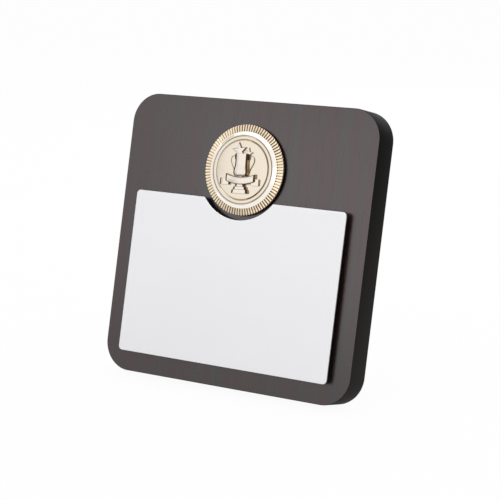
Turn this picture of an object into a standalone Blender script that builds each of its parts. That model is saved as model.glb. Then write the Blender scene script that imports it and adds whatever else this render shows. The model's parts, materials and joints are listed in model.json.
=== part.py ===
"""Award plaque: a leaning wooden board with a floating metal plate, a reeded medal and a folding easel strut.

The board frame has its origin at the middle of the front face's bottom edge, with +X to the right, +Y from
the front face towards the back and +Z up the board. The plaque frame leans that frame back and stands it on
the floor. Metres and radians throughout.
"""

import math

import bmesh
import bpy
from mathutils import Matrix, Vector

# Board
BOARD_WIDTH = 0.178
BOARD_HEIGHT = 0.178
BOARD_THICKNESS = 0.0186
BOARD_CORNER_RADIUS = 0.0185
BOARD_EDGE_EASE = 0.0006
LEAN_ANGLE = math.radians(13.2)

# Glue line, seat or running clearance between neighbouring pieces
FIT_GAP = 0.0003

# Floating plate and the spacers that carry it
PLATE_SIDE_MARGIN = 0.0132
PLATE_BOTTOM_MARGIN = 0.013
PLATE_THICKNESS = 0.0012
PLATE_CORNER_RADIUS = 0.0026
PLATE_EDGE_EASE = 0.0002
NOTCH_RISE = 0.0190
NOTCH_CLEARANCE = 0.0032
NOTCH_CORNER_RADIUS = 0.0008
SPACER_RADIUS = 0.007
SPACER_HEIGHT = 0.0032
SPACER_INSET = 0.018
SPACER_EDGE_EASE = 0.0004

# Medal: mounting pad, reeded rim and embossed insert
MEDAL_RADIUS = 0.028
MEDAL_DROP = 0.0433
MEDAL_PAD_RADIUS = 0.022
MEDAL_PAD_THICKNESS = 0.0012
RIM_FLOOR_THICKNESS = 0.0009
RIM_EDGE_HEIGHT = 0.0010
RIM_EDGE_CHAMFER = 0.0004
REED_COUNT = 90
REED_BAND_WIDTH = 0.0042
REED_BAND_RISE = 0.00095
REED_GROOVE_WIDTH = 0.0011
REED_GROOVE_DEPTH = 0.0004
RING_LAND_WIDTH = 0.0010
RING_SLOPE_WIDTH = 0.0011
RING_SLOPE_RISE = 0.0012
RING_CREST_WIDTH = 0.0005
INSERT_EDGE_THICKNESS = 0.0023
INSERT_BEAD_WIDTH = 0.0019
INSERT_SLOPE_WIDTH = 0.0011
INSERT_EDGE_CHAMFER = 0.0004
INSERT_FIELD_DROP = 0.0007

# Emblem on the insert's field: its full depth, and heights as shares of that depth
EMBLEM_DEPTH = 0.0061
EMBLEM_CUP_LIFT = 0.30
EMBLEM_HANDLE_LIFT = 0.42
EMBLEM_FOOT_DEPTH = 0.55
EMBLEM_ROOT = 0.09

# Easel strut and its hinge
HINGE_DROP = 0.066
HINGE_WIDTH = 0.032
HINGE_MIDDLE_KNUCKLE = 0.012
KNUCKLE_RADIUS = 0.0020
PIN_RADIUS = 0.0010
LEAF_THICKNESS = 0.0010
BOARD_LEAF_LENGTH = 0.020
STRUT_LEAF_LENGTH = 0.016
STRUT_THICKNESS = 0.006
STRUT_TOP_WIDTH = 0.036
STRUT_FOOT_WIDTH = 0.052
STRUT_CORNER_RADIUS = 0.005
STRUT_EDGE_EASE = 0.0005
STRUT_OPEN_ANGLE = math.radians(24.0)

# Countersunk wood screws
SCREW_HEAD_RADIUS = 0.0020
SCREW_SHANK_RADIUS = 0.0010
SCREW_TIP_LENGTH = 0.0015
SCREW_SIDE_DISTANCE = 0.0070
SCREW_END_DISTANCE = 0.0055
BOARD_SCREW_LENGTH = 0.0105
STRUT_SCREW_LENGTH = 0.0052

# Keyhole slot in the board's back, for a wall screw
KEYHOLE_ENTRY_RADIUS = 0.0050
KEYHOLE_HEAD_WIDTH = 0.0094
KEYHOLE_NECK_WIDTH = 0.0050
KEYHOLE_TRAVEL = 0.012
KEYHOLE_DEPTH = 0.0090
KEYHOLE_LIP = 0.0035
KEYHOLE_DROP = 0.032

# Facets and shading
CORNER_STEPS = 20
SMALL_CORNER_STEPS = 6
NOTCH_STEPS = 36
ROUND_STEPS = 24
DISC_STEPS = 48
GROOVE_STEPS = 8
SHARP_ANGLE = math.radians(30)
EASED_ANGLE = math.radians(40)
FLAT_ANGLE = math.radians(0.5)
WELD_DISTANCE = 1e-6

# Places that follow from the sizes above
MEDAL_HEIGHT = BOARD_HEIGHT - MEDAL_DROP
PLATE_WIDTH = BOARD_WIDTH - 2 * PLATE_SIDE_MARGIN
PLATE_TOP = MEDAL_HEIGHT - NOTCH_RISE
PLATE_STANDOFF = SPACER_HEIGHT + 2 * FIT_GAP
NOTCH_RADIUS = MEDAL_RADIUS + NOTCH_CLEARANCE
RIM_BASE = MEDAL_PAD_THICKNESS + 2 * FIT_GAP
RING_CREST = RIM_EDGE_HEIGHT + REED_BAND_RISE + RING_SLOPE_RISE
REED_INNER_RADIUS = MEDAL_RADIUS - REED_BAND_WIDTH
CREST_RADIUS = REED_INNER_RADIUS - RING_LAND_WIDTH - RING_SLOPE_WIDTH
RECESS_RADIUS = CREST_RADIUS - RING_CREST_WIDTH
INSERT_BASE = RIM_BASE + RIM_FLOOR_THICKNESS + FIT_GAP
INSERT_RADIUS = RECESS_RADIUS - FIT_GAP
FIELD_RADIUS = INSERT_RADIUS - INSERT_BEAD_WIDTH - INSERT_SLOPE_WIDTH
FIELD_THICKNESS = INSERT_EDGE_THICKNESS - INSERT_FIELD_DROP
HINGE_HEIGHT = BOARD_HEIGHT - HINGE_DROP
HINGE_DEPTH = BOARD_THICKNESS + FIT_GAP + KNUCKLE_RADIUS
STRUT_INNER_FACE = KNUCKLE_RADIUS + FIT_GAP
BORE_RADIUS = PIN_RADIUS + FIT_GAP
REST_EDGE = BOARD_THICKNESS - BOARD_EDGE_EASE

# Turns that lay a local XY outline on the board's front, or point a local +Z out of the board's back
FACE_FRONT = (math.pi / 2, 0, 0)
FACE_BACK = (-math.pi / 2, 0, 0)

COLOURS = {
    "stained_veneer": ((0.060, 0.048, 0.045), 0.45, 0.0),
    "satin_plate": ((0.80, 0.80, 0.82), 0.35, 0.6),
    "gold_plating": ((0.86, 0.68, 0.42), 0.22, 1.0),
    "black_nylon": ((0.015, 0.015, 0.016), 0.55, 0.0),
    "foam_pad": ((0.020, 0.020, 0.020), 0.95, 0.0),
    "stained_strut": ((0.050, 0.040, 0.037), 0.55, 0.0),
    "hinge_brass": ((0.62, 0.47, 0.22), 0.32, 1.0),
    "screw_brass": ((0.66, 0.52, 0.27), 0.30, 1.0),
}


def clear_scene():
    for obj in list(bpy.data.objects):
        bpy.data.objects.remove(obj)


def make_collection(name):
    collection = bpy.data.collections.new(name)
    bpy.context.scene.collection.children.link(collection)
    return collection


def make_material(name):
    colour, roughness, metallic = COLOURS[name]
    material = bpy.data.materials.new(name)
    material.use_nodes = True
    shader = material.node_tree.nodes["Principled BSDF"]
    shader.inputs["Base Color"].default_value = (*colour, 1)
    shader.inputs["Roughness"].default_value = roughness
    shader.inputs["Metallic"].default_value = metallic
    material.diffuse_color = (*colour, 1)
    return material


clear_scene()
PARTS = make_collection("award_plaque")
CUTTERS = make_collection("cutters")
MATERIALS = {name: make_material(name) for name in COLOURS}


def make_empty(name, parent=None, location=(0, 0, 0), rotation=(0, 0, 0)):
    empty = bpy.data.objects.new(name, None)
    PARTS.objects.link(empty)
    empty.parent = parent
    empty.location = location
    empty.rotation_euler = rotation
    return empty


def place(name, data, parent, location=(0, 0, 0), rotation=(0, 0, 0), material=None):
    """A part where a material is given, and otherwise a hidden shape that cuts or joins a part."""
    obj = bpy.data.objects.new(name, data)
    obj.parent = parent
    obj.location = location
    obj.rotation_euler = rotation
    if material is None:
        CUTTERS.objects.link(obj)
        obj.hide_render = True
        obj.display_type = "WIRE"
    else:
        PARTS.objects.link(obj)
        data.materials.append(MATERIALS[material])
    return obj


def mesh_of(name, bm):
    mesh = bpy.data.meshes.new(name)
    bm.to_mesh(mesh)
    bm.free()
    return mesh


def box_mesh(name, low, high):
    """A box between two corners."""
    size = Vector(high) - Vector(low)
    middle = (Vector(high) + Vector(low)) / 2
    bm = bmesh.new()
    bmesh.ops.create_cube(bm, size=1, matrix=Matrix.Translation(middle) @ Matrix.Diagonal((*size, 1)))
    return mesh_of(name, bm)


def rod_mesh(name, radius, start, end, steps=ROUND_STEPS):
    """A round bar along X between two places."""
    turn = Matrix.Rotation(math.pi / 2, 4, "Y") @ Matrix.Rotation(math.pi / steps, 4, "Z")
    bm = bmesh.new()
    bmesh.ops.create_cone(
        bm, cap_ends=True, segments=steps, radius1=radius, radius2=radius, depth=end - start,
        matrix=Matrix.Translation(((start + end) / 2, 0, 0)) @ turn,
    )
    return mesh_of(name, bm)


def turned(name, profile, parent, steps, material=None, **placing):
    """A profile of (radius, height) points, from the top to the bottom, turned about local Z."""
    mesh = bpy.data.meshes.new(name)
    points = [(radius, 0, height) for radius, height in profile]
    mesh.from_pydata(points, [(i, i + 1) for i in range(len(points) - 1)], [])
    obj = place(name, mesh, parent, material=material, **placing)
    screw = obj.modifiers.new("turn", "SCREW")
    screw.steps = screw.render_steps = steps
    screw.use_merge_vertices = True
    screw.merge_threshold = WELD_DISTANCE
    screw.use_smooth_shade = True
    return obj


def arc(centre, radius, start, end, steps):
    """Points along an arc between two angles in degrees, both ends included."""
    turns = [math.radians(start + (end - start) * i / steps) for i in range(steps + 1)]
    return [(centre[0] + radius * math.cos(a), centre[1] + radius * math.sin(a)) for a in turns]


def outline_curve(name, points, thickness):
    """A flat outline in local XY, centred on its thickness."""
    curve = bpy.data.curves.new(name, "CURVE")
    curve.dimensions = "2D"
    curve.fill_mode = "BOTH"
    curve.extrude = thickness / 2
    spline = curve.splines.new("POLY")
    spline.points.add(len(points) - 1)
    spline.use_cyclic_u = True
    for point, (x, y) in zip(spline.points, points):
        point.co = (x, y, 0, 1)
    return curve


def tube_curve(name, points, radius):
    """A round wire through the points, smoothed, with its ends closed."""
    curve = bpy.data.curves.new(name, "CURVE")
    curve.dimensions = "3D"
    curve.bevel_depth = radius
    curve.bevel_resolution = 1
    curve.use_fill_caps = True
    curve.resolution_u = 4
    spline = curve.splines.new("NURBS")
    spline.points.add(len(points) - 1)
    spline.use_endpoint_u = True
    spline.order_u = 4
    for point, (x, y, z) in zip(spline.points, points):
        point.co = (x, y, z, 1)
    return curve


def as_mesh(curve):
    """The closed mesh of a curve, with its caps welded to its sides and each flat cap one face."""
    guide = bpy.data.objects.new("guide", curve)
    CUTTERS.objects.link(guide)
    graph = bpy.context.evaluated_depsgraph_get()
    mesh = bpy.data.meshes.new_from_object(guide.evaluated_get(graph))
    mesh.name = curve.name
    bpy.data.objects.remove(guide)
    bm = bmesh.new()
    bm.from_mesh(mesh)
    bmesh.ops.remove_doubles(bm, verts=bm.verts, dist=WELD_DISTANCE)
    bmesh.ops.dissolve_limit(bm, angle_limit=FLAT_ANGLE, verts=bm.verts, edges=bm.edges)
    bmesh.ops.recalc_face_normals(bm, faces=bm.faces)
    bm.to_mesh(mesh)
    bm.free()
    return mesh


def cut(target, *cutters):
    for cutter in cutters:
        boolean = target.modifiers.new("cut " + cutter.name, "BOOLEAN")
        boolean.operation = "DIFFERENCE"
        boolean.object = cutter


def join(target, *pieces):
    for piece in pieces:
        boolean = target.modifiers.new("join " + piece.name, "BOOLEAN")
        boolean.operation = "UNION"
        boolean.object = piece


def ease(target, width, segments):
    """Rounds the sharp edges that the shape has so far."""
    bevel = target.modifiers.new("ease", "BEVEL")
    bevel.width = width
    bevel.segments = segments
    bevel.limit_method = "ANGLE"
    bevel.angle_limit = EASED_ANGLE


def rounded_rectangle(left, bottom, right, top, radius, steps):
    return (
        arc((left + radius, bottom + radius), radius, 180, 270, steps)
        + arc((right - radius, bottom + radius), radius, 270, 360, steps)
        + arc((right - radius, top - radius), radius, 0, 90, steps)
        + arc((left + radius, top - radius), radius, 90, 180, steps)
    )


# Frames

plaque_frame = make_empty("plaque_frame", rotation=(-LEAN_ANGLE, 0, 0))
medal_frame = make_empty("medal_frame", plaque_frame, (0, 0, MEDAL_HEIGHT), FACE_FRONT)
emblem_frame = make_empty("emblem_frame", medal_frame, (0, 0, INSERT_BASE + FIELD_THICKNESS))
emblem_frame.scale = (FIELD_RADIUS, FIELD_RADIUS, EMBLEM_DEPTH)
hinge_frame = make_empty("hinge_frame", plaque_frame, (0, HINGE_DEPTH, HINGE_HEIGHT))
strut_pivot = make_empty("strut_pivot", hinge_frame, rotation=(STRUT_OPEN_ANGLE, 0, 0))


# Screws

def screw_profile(length):
    """Countersunk head, shank and point. Height 0 is the head's flat top."""
    head_height = SCREW_HEAD_RADIUS - SCREW_SHANK_RADIUS
    return [
        (0, 0),
        (SCREW_HEAD_RADIUS, 0),
        (SCREW_SHANK_RADIUS, -head_height),
        (SCREW_SHANK_RADIUS, SCREW_TIP_LENGTH - length),
        (0, -length),
    ]


def screw_hole_profile(length):
    """The countersunk hole that clears the screw all round, open above the head."""
    head_height = SCREW_HEAD_RADIUS - SCREW_SHANK_RADIUS
    return [
        (0, head_height),
        (SCREW_HEAD_RADIUS + FIT_GAP, head_height),
        (SCREW_HEAD_RADIUS + FIT_GAP, 0),
        (SCREW_SHANK_RADIUS + FIT_GAP, -head_height),
        (SCREW_SHANK_RADIUS + FIT_GAP, -length - FIT_GAP),
        (0, -length - FIT_GAP),
    ]


def make_screws(prefix, parent, seat, height, rotation, length):
    """A left and a right screw and their hole cutters, with the heads flush with the leaf."""
    reach = HINGE_WIDTH / 2 - SCREW_SIDE_DISTANCE
    holes = []
    for side, x in (("left", -reach), ("right", reach)):
        placing = {"location": (x, seat, height), "rotation": rotation}
        turned(f"{prefix}_screw_{side}", screw_profile(length), parent, ROUND_STEPS, "screw_brass", **placing)
        name = f"{prefix}_screw_hole_{side}"
        hole = turned(name, screw_hole_profile(length), parent, ROUND_STEPS, **placing)
        holes.append(hole)
    return holes


board_screw_holes = make_screws(
    "board", hinge_frame, LEAF_THICKNESS - KNUCKLE_RADIUS, BOARD_LEAF_LENGTH - SCREW_END_DISTANCE,
    FACE_BACK, BOARD_SCREW_LENGTH,
)
strut_screw_holes = make_screws(
    "strut", strut_pivot, KNUCKLE_RADIUS - LEAF_THICKNESS, SCREW_END_DISTANCE - STRUT_LEAF_LENGTH,
    FACE_FRONT, STRUT_SCREW_LENGTH,
)


# Board

def keyhole_cutters():
    """Entry hole, undercut for the screw's head and narrower neck for its shank, cut from the back."""
    entry_height = BOARD_HEIGHT - KEYHOLE_DROP
    head_radius = KEYHOLE_HEAD_WIDTH / 2
    neck_radius = KEYHOLE_NECK_WIDTH / 2
    back = BOARD_THICKNESS
    overshoot = KEYHOLE_LIP

    def slot(name, radius, shallow, deep):
        points = arc((0, 0), radius, 180, 360, ROUND_STEPS // 2)
        points += arc((0, KEYHOLE_TRAVEL), radius, 0, 180, ROUND_STEPS // 2)
        mesh = as_mesh(outline_curve(name, points, deep - shallow))
        return place(name, mesh, plaque_frame, (0, back - (deep + shallow) / 2, entry_height), FACE_FRONT)

    entry_points = arc((0, 0), KEYHOLE_ENTRY_RADIUS, 0, 360 - 360 / ROUND_STEPS, ROUND_STEPS - 1)
    entry_depth = KEYHOLE_DEPTH + overshoot
    entry = place(
        "keyhole_entry", as_mesh(outline_curve("keyhole_entry", entry_points, entry_depth)), plaque_frame,
        (0, back - KEYHOLE_DEPTH - FIT_GAP + entry_depth / 2, entry_height), FACE_FRONT,
    )
    head = slot("keyhole_head", head_radius, KEYHOLE_LIP, KEYHOLE_DEPTH)
    neck = slot("keyhole_neck", neck_radius, -overshoot, (KEYHOLE_LIP + KEYHOLE_DEPTH) / 2)
    return entry, head, neck


def make_board():
    points = rounded_rectangle(
        -BOARD_WIDTH / 2, 0, BOARD_WIDTH / 2, BOARD_HEIGHT, BOARD_CORNER_RADIUS, CORNER_STEPS
    )
    mesh = as_mesh(outline_curve("backing_board", points, BOARD_THICKNESS))
    board = place(
        "backing_board", mesh, plaque_frame, (0, BOARD_THICKNESS / 2, 0), FACE_FRONT, "stained_veneer"
    )
    ease(board, BOARD_EDGE_EASE, 2)
    cut(board, *keyhole_cutters(), *board_screw_holes)


# Floating plate

def plate_outline():
    """Rounded rectangle whose top edge has a notch concentric with the medal, with its tips rounded."""
    half = PLATE_WIDTH / 2
    radius, tip = PLATE_CORNER_RADIUS, NOTCH_CORNER_RADIUS
    tip_x = math.sqrt((NOTCH_RADIUS + tip) ** 2 - (NOTCH_RISE + tip) ** 2)
    tip_turn = math.degrees(math.atan2(NOTCH_RISE + tip, tip_x))
    low, high = PLATE_BOTTOM_MARGIN + radius, PLATE_TOP - radius
    return (
        arc((-half + radius, low), radius, 180, 270, SMALL_CORNER_STEPS)
        + arc((half - radius, low), radius, 270, 360, SMALL_CORNER_STEPS)
        + arc((half - radius, high), radius, 0, 90, SMALL_CORNER_STEPS)
        + arc((tip_x, PLATE_TOP - tip), tip, 90, 180 - tip_turn, SMALL_CORNER_STEPS)
        + arc((0, MEDAL_HEIGHT), NOTCH_RADIUS, -tip_turn, tip_turn - 180, NOTCH_STEPS)[1:-1]
        + arc((-tip_x, PLATE_TOP - tip), tip, tip_turn, 90, SMALL_CORNER_STEPS)
        + arc((-half + radius, high), radius, 90, 180, SMALL_CORNER_STEPS)
    )


def make_plate():
    mesh = as_mesh(outline_curve("face_plate", plate_outline(), PLATE_THICKNESS))
    middle = PLATE_STANDOFF + PLATE_THICKNESS / 2
    plate = place("face_plate", mesh, plaque_frame, (0, -middle, 0), FACE_FRONT, "satin_plate")
    ease(plate, PLATE_EDGE_EASE, 1)


def make_spacers():
    """Four turned spacers near the plate's corners."""
    reach = PLATE_WIDTH / 2 - SPACER_INSET
    heights = {"lower": PLATE_BOTTOM_MARGIN + SPACER_INSET, "upper": PLATE_TOP - SPACER_INSET}
    top, rim = SPACER_HEIGHT, SPACER_RADIUS
    profile = [
        (0, top),
        (rim - SPACER_EDGE_EASE, top),
        (rim, top - SPACER_EDGE_EASE),
        (rim, SPACER_EDGE_EASE),
        (rim - SPACER_EDGE_EASE, 0),
        (0, 0),
    ]
    for level, height in heights.items():
        for side, x in (("left", -reach), ("right", reach)):
            turned(
                f"plate_spacer_{level}_{side}", profile, plaque_frame, ROUND_STEPS, "black_nylon",
                location=(x, -FIT_GAP, height), rotation=FACE_FRONT,
            )


# Medal. Local +Z points out of the board's front, with height 0 on the board.

def make_medal_pad():
    radius, top = MEDAL_PAD_RADIUS, MEDAL_PAD_THICKNESS
    profile = [(0, top), (radius, top), (radius, 0), (0, 0)]
    turned("medal_pad", profile, medal_frame, DISC_STEPS, "foam_pad", location=(0, 0, FIT_GAP))


def reed_cutter():
    """Radial grooves that leave the reeds standing on the rim's sloping band."""
    depth, half_width = REED_GROOVE_DEPTH, REED_GROOVE_WIDTH / 2
    cutter_radius = (half_width**2 + depth**2) / (2 * depth)
    lift = cutter_radius - depth
    slope = math.atan2(REED_BAND_RISE, REED_BAND_WIDTH)
    band = math.hypot(REED_BAND_RISE, REED_BAND_WIDTH)
    length = band + cutter_radius
    middle = Vector((REED_INNER_RADIUS, 0, RIM_EDGE_HEIGHT + REED_BAND_RISE))
    middle += Vector((math.cos(slope), 0, -math.sin(slope))) * (length / 2)
    middle += Vector((math.sin(slope), 0, math.cos(slope))) * lift
    lay = Matrix.Translation(middle) @ Matrix.Rotation(math.pi / 2 + slope, 4, "Y")
    bm = bmesh.new()
    for i in range(REED_COUNT):
        turn = Matrix.Rotation(2 * math.pi * (i + 0.5) / REED_COUNT, 4, "Z")
        bmesh.ops.create_cone(
            bm, cap_ends=True, segments=GROOVE_STEPS, radius1=cutter_radius, radius2=cutter_radius,
            depth=length, matrix=turn @ lay,
        )
    return place("reed_grooves", mesh_of("reed_grooves", bm), medal_frame, (0, 0, RIM_BASE))


def make_medal_rim():
    """Shallow cup with a recess for the insert, a raised inner ring, a flat land and the reeded band."""
    crest = RING_CREST
    land = RIM_EDGE_HEIGHT + REED_BAND_RISE
    profile = [
        (0, RIM_FLOOR_THICKNESS),
        (RECESS_RADIUS, RIM_FLOOR_THICKNESS),
        (RECESS_RADIUS, crest),
        (CREST_RADIUS, crest),
        (CREST_RADIUS + RING_SLOPE_WIDTH, land),
        (REED_INNER_RADIUS, land),
        (MEDAL_RADIUS, RIM_EDGE_HEIGHT),
        (MEDAL_RADIUS, RIM_EDGE_CHAMFER),
        (MEDAL_RADIUS - RIM_EDGE_CHAMFER, 0),
        (0, 0),
    ]
    rim = turned("medal_rim", profile, medal_frame, REED_COUNT, "gold_plating", location=(0, 0, RIM_BASE))
    cut(rim, reed_cutter())


def emblem_shape(name, data, depth_stretch=1.0, **placing):
    """A relief shape drawn in field radii, with height 0 on the field and height 1 at the relief's top."""
    shape = place(name, data, emblem_frame, **placing)
    shape.scale.z = depth_stretch
    return shape


def emblem_upright(name, profile, lift, depth_stretch):
    """A relief shape turned about the field's upright axis, which is lifted off the field."""
    shape = turned(name, profile, emblem_frame, ROUND_STEPS, location=(0, 0, lift), rotation=FACE_BACK)
    shape.scale.y = depth_stretch
    return shape


def emblem_cup():
    """Cup bowl and stem, fully round, half sunk in the field."""
    profile = [
        (0, 0.54),
        (0.215, 0.54),
        (0.215, 0.505),
        (0.187, 0.42),
        (0.182, 0.28),
        (0.196, 0.155),
        (0.226, 0.035),
        (0.243, -0.055),
        (0.235, -0.12),
        (0.19, -0.18),
        (0.11, -0.22),
        (0.067, -0.265),
        (0.067, -0.525),
        (0, -0.525),
    ]
    return emblem_upright("emblem_cup", profile, EMBLEM_CUP_LIFT, FIELD_RADIUS / EMBLEM_DEPTH)


def emblem_foot():
    """Stepped foot below the stem, flattened towards the field."""
    widest = 0.37
    profile = [
        (0, -0.51),
        (0.123, -0.51),
        (0.185, -0.54),
        (0.19, -0.61),
        (0.25, -0.64),
        (0.34, -0.76),
        (widest, -0.77),
        (widest, -0.82),
        (0, -0.82),
    ]
    return emblem_upright("emblem_foot", profile, 0, EMBLEM_FOOT_DEPTH / widest)


def emblem_star(name, x, y, radius, top):
    """Five-pointed star with sloping sides."""
    waist, draft, tips = 0.42, 0.9, 5
    step = math.pi / tips
    upright = Matrix.Rotation(step / 2, 4, "Z")
    bm = bmesh.new()
    bmesh.ops.create_cone(
        bm, cap_ends=True, segments=2 * tips, radius1=radius, radius2=draft * radius, depth=top + EMBLEM_ROOT,
        matrix=Matrix.Translation((0, 0, (top - EMBLEM_ROOT) / 2)) @ upright,
    )
    for vertex in bm.verts:
        spoke = round((math.atan2(vertex.co.y, vertex.co.x) - step / 2) / step)
        if spoke % 2:
            vertex.co.x *= waist
            vertex.co.y *= waist
    return emblem_shape(name, mesh_of(name, bm), location=(x, y, 0))


def emblem_ribbon():
    """Blank ribbon that sags in the middle, with a forked tail below each end."""
    half, height, sag, middle = 0.53, 0.24, 0.08, -0.375
    radius = (half**2 + sag**2) / (2 * sag)
    centre = (0, middle + radius)
    spread = math.degrees(math.asin(half / radius))
    band = arc(centre, radius + height / 2, 270 - spread, 270 + spread, SMALL_CORNER_STEPS)
    band += arc(centre, radius - height / 2, 270 + spread, 270 - spread, SMALL_CORNER_STEPS)
    tail = [(0.46, -0.52), (0.80, -0.50), (0.72, -0.40), (0.80, -0.29), (0.46, -0.31)]
    outlines = {
        "emblem_ribbon_band": (band, 0.50),
        "emblem_ribbon_tail_right": (tail, 0.205),
        "emblem_ribbon_tail_left": ([(-x, y) for x, y in reversed(tail)], 0.205),
    }
    shapes = []
    for name, (points, top) in outlines.items():
        mesh = as_mesh(outline_curve(name, points, top + EMBLEM_ROOT))
        shapes.append(emblem_shape(name, mesh, location=(0, 0, (top - EMBLEM_ROOT) / 2)))
    return shapes


def emblem_handles():
    """Two ear-shaped handles from the cup's rim to the foot of its bowl."""
    wire = 0.031
    ear = [(0.14, 0.41), (0.32, 0.49), (0.50, 0.45), (0.42, 0.20), (0.31, 0.00), (0.15, -0.06)]
    round_depth = FIELD_RADIUS / EMBLEM_DEPTH
    shapes = []
    for side, sign in (("left", -1), ("right", 1)):
        name = "emblem_handle_" + side
        points = [(sign * x, y, 0) for x, y in ear]
        mesh = as_mesh(tube_curve(name, points, wire))
        shapes.append(emblem_shape(name, mesh, round_depth, location=(0, 0, EMBLEM_HANDLE_LIFT)))
    return shapes


def make_medal_insert():
    """Embossed disc: rounded outer edge, bead, slope down to the field, and the emblem standing on it."""
    edge, field = INSERT_EDGE_THICKNESS, FIELD_THICKNESS
    profile = [
        (0, field),
        (FIELD_RADIUS, field),
        (FIELD_RADIUS + INSERT_SLOPE_WIDTH, edge),
        (INSERT_RADIUS - INSERT_EDGE_CHAMFER, edge),
        (INSERT_RADIUS, edge - INSERT_EDGE_CHAMFER),
        (INSERT_RADIUS, 0),
        (0, 0),
    ]
    place_in_rim = (0, 0, INSERT_BASE)
    insert = turned("medal_insert", profile, medal_frame, DISC_STEPS, "gold_plating", location=place_in_rim)
    join(insert, emblem_cup(), emblem_foot(), *emblem_ribbon(), *emblem_handles())
    join(insert, emblem_star("emblem_star_large", -0.23, 0.65, 0.30, 0.27))
    join(insert, emblem_star("emblem_star_small", 0.14, 0.59, 0.205, 0.22))
    low = (-INSERT_RADIUS, -INSERT_RADIUS, -2 * EMBLEM_DEPTH)
    below = box_mesh("emblem_trim", low, (INSERT_RADIUS, INSERT_RADIUS, 0))
    cut(insert, place("emblem_trim", below, medal_frame, place_in_rim))


# Hinge. Local origin on the pin's axis, with the board's leaf above it and the strut's leaf below.

def knuckle_spans():
    """Where the middle knuckle and the two outer ones lie along the pin."""
    half, middle = HINGE_WIDTH / 2, HINGE_MIDDLE_KNUCKLE / 2
    return [(-middle, middle)], [(-half, -middle - FIT_GAP), (middle + FIT_GAP, half)]


def make_leaf(name, parent, low, high, own_spans, other_spans, holes):
    """A flat leaf with its own rolled knuckles and room for the other leaf's."""
    leaf = place(name, box_mesh(name, low, high), parent, material="hinge_brass")
    room = KNUCKLE_RADIUS + FIT_GAP
    for i, (start, end) in enumerate(other_spans):
        near, far = (start - 2 * FIT_GAP, -room, -room), (end + 2 * FIT_GAP, room, room)
        cut(leaf, place(f"{name}_room_{i}", box_mesh(f"{name}_room_{i}", near, far), parent))
    for i, (start, end) in enumerate(own_spans):
        knuckle = rod_mesh(f"{name}_knuckle_{i}", KNUCKLE_RADIUS, start, end)
        join(leaf, place(f"{name}_knuckle_{i}", knuckle, parent))
    bore = rod_mesh(f"{name}_bore", BORE_RADIUS, -HINGE_WIDTH, HINGE_WIDTH)
    cut(leaf, place(f"{name}_bore", bore, parent), *holes)


def make_hinge():
    middle, outer = knuckle_spans()
    half = HINGE_WIDTH / 2
    make_leaf(
        "hinge_leaf_board", hinge_frame,
        (-half, -KNUCKLE_RADIUS, 0), (half, LEAF_THICKNESS - KNUCKLE_RADIUS, BOARD_LEAF_LENGTH),
        outer, middle, board_screw_holes,
    )
    make_leaf(
        "hinge_leaf_strut", strut_pivot,
        (-half, KNUCKLE_RADIUS - LEAF_THICKNESS, -STRUT_LEAF_LENGTH), (half, KNUCKLE_RADIUS, 0),
        middle, outer, strut_screw_holes,
    )
    place("hinge_pin", rod_mesh("hinge_pin", PIN_RADIUS, -half, half), hinge_frame, material="hinge_brass")


# Strut

def strut_heel():
    """The strut's reach above the pin, where its heel meets the board's leaf and stops the opening."""
    stop = KNUCKLE_RADIUS - LEAF_THICKNESS - FIT_GAP
    return (STRUT_INNER_FACE * math.cos(STRUT_OPEN_ANGLE) + stop) / math.sin(STRUT_OPEN_ANGLE)


def strut_reach():
    """The way along the open strut from the pin to the floor, on the strut's outer face."""
    lean, opened = LEAN_ANGLE, STRUT_OPEN_ANGLE
    drop = HINGE_HEIGHT - (HINGE_DEPTH - REST_EDGE) * math.tan(lean)
    inner = drop / (math.cos(opened) + math.sin(opened) * math.tan(lean))
    return inner + (STRUT_INNER_FACE + STRUT_THICKNESS) * math.tan(opened - lean)


def make_strut():
    """Tapered leg whose foot is cut flush with the floor that the plaque stands on."""
    heel, reach = strut_heel(), strut_reach() + STRUT_THICKNESS
    top, foot, radius = STRUT_TOP_WIDTH / 2, STRUT_FOOT_WIDTH / 2, STRUT_CORNER_RADIUS
    points = [(-foot, -reach), (foot, -reach)]
    points += arc((top - radius, heel - radius), radius, 0, 90, SMALL_CORNER_STEPS)
    points += arc((radius - top, heel - radius), radius, 90, 180, SMALL_CORNER_STEPS)
    mesh = as_mesh(outline_curve("easel_strut", points, STRUT_THICKNESS))
    middle = STRUT_INNER_FACE + STRUT_THICKNESS / 2
    strut = place("easel_strut", mesh, strut_pivot, (0, middle, 0), FACE_FRONT, "stained_strut")
    half, deep = STRUT_FOOT_WIDTH, 4 * STRUT_THICKNESS
    ground = box_mesh("floor_under_strut", (-half, 0, -deep), (half, HINGE_HEIGHT, 0))
    cut(strut, place("floor_under_strut", ground, plaque_frame, (0, REST_EDGE, 0), (LEAN_ANGLE, 0, 0)))
    ease(strut, STRUT_EDGE_EASE, 1)
    cut(strut, *strut_screw_holes)


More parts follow.
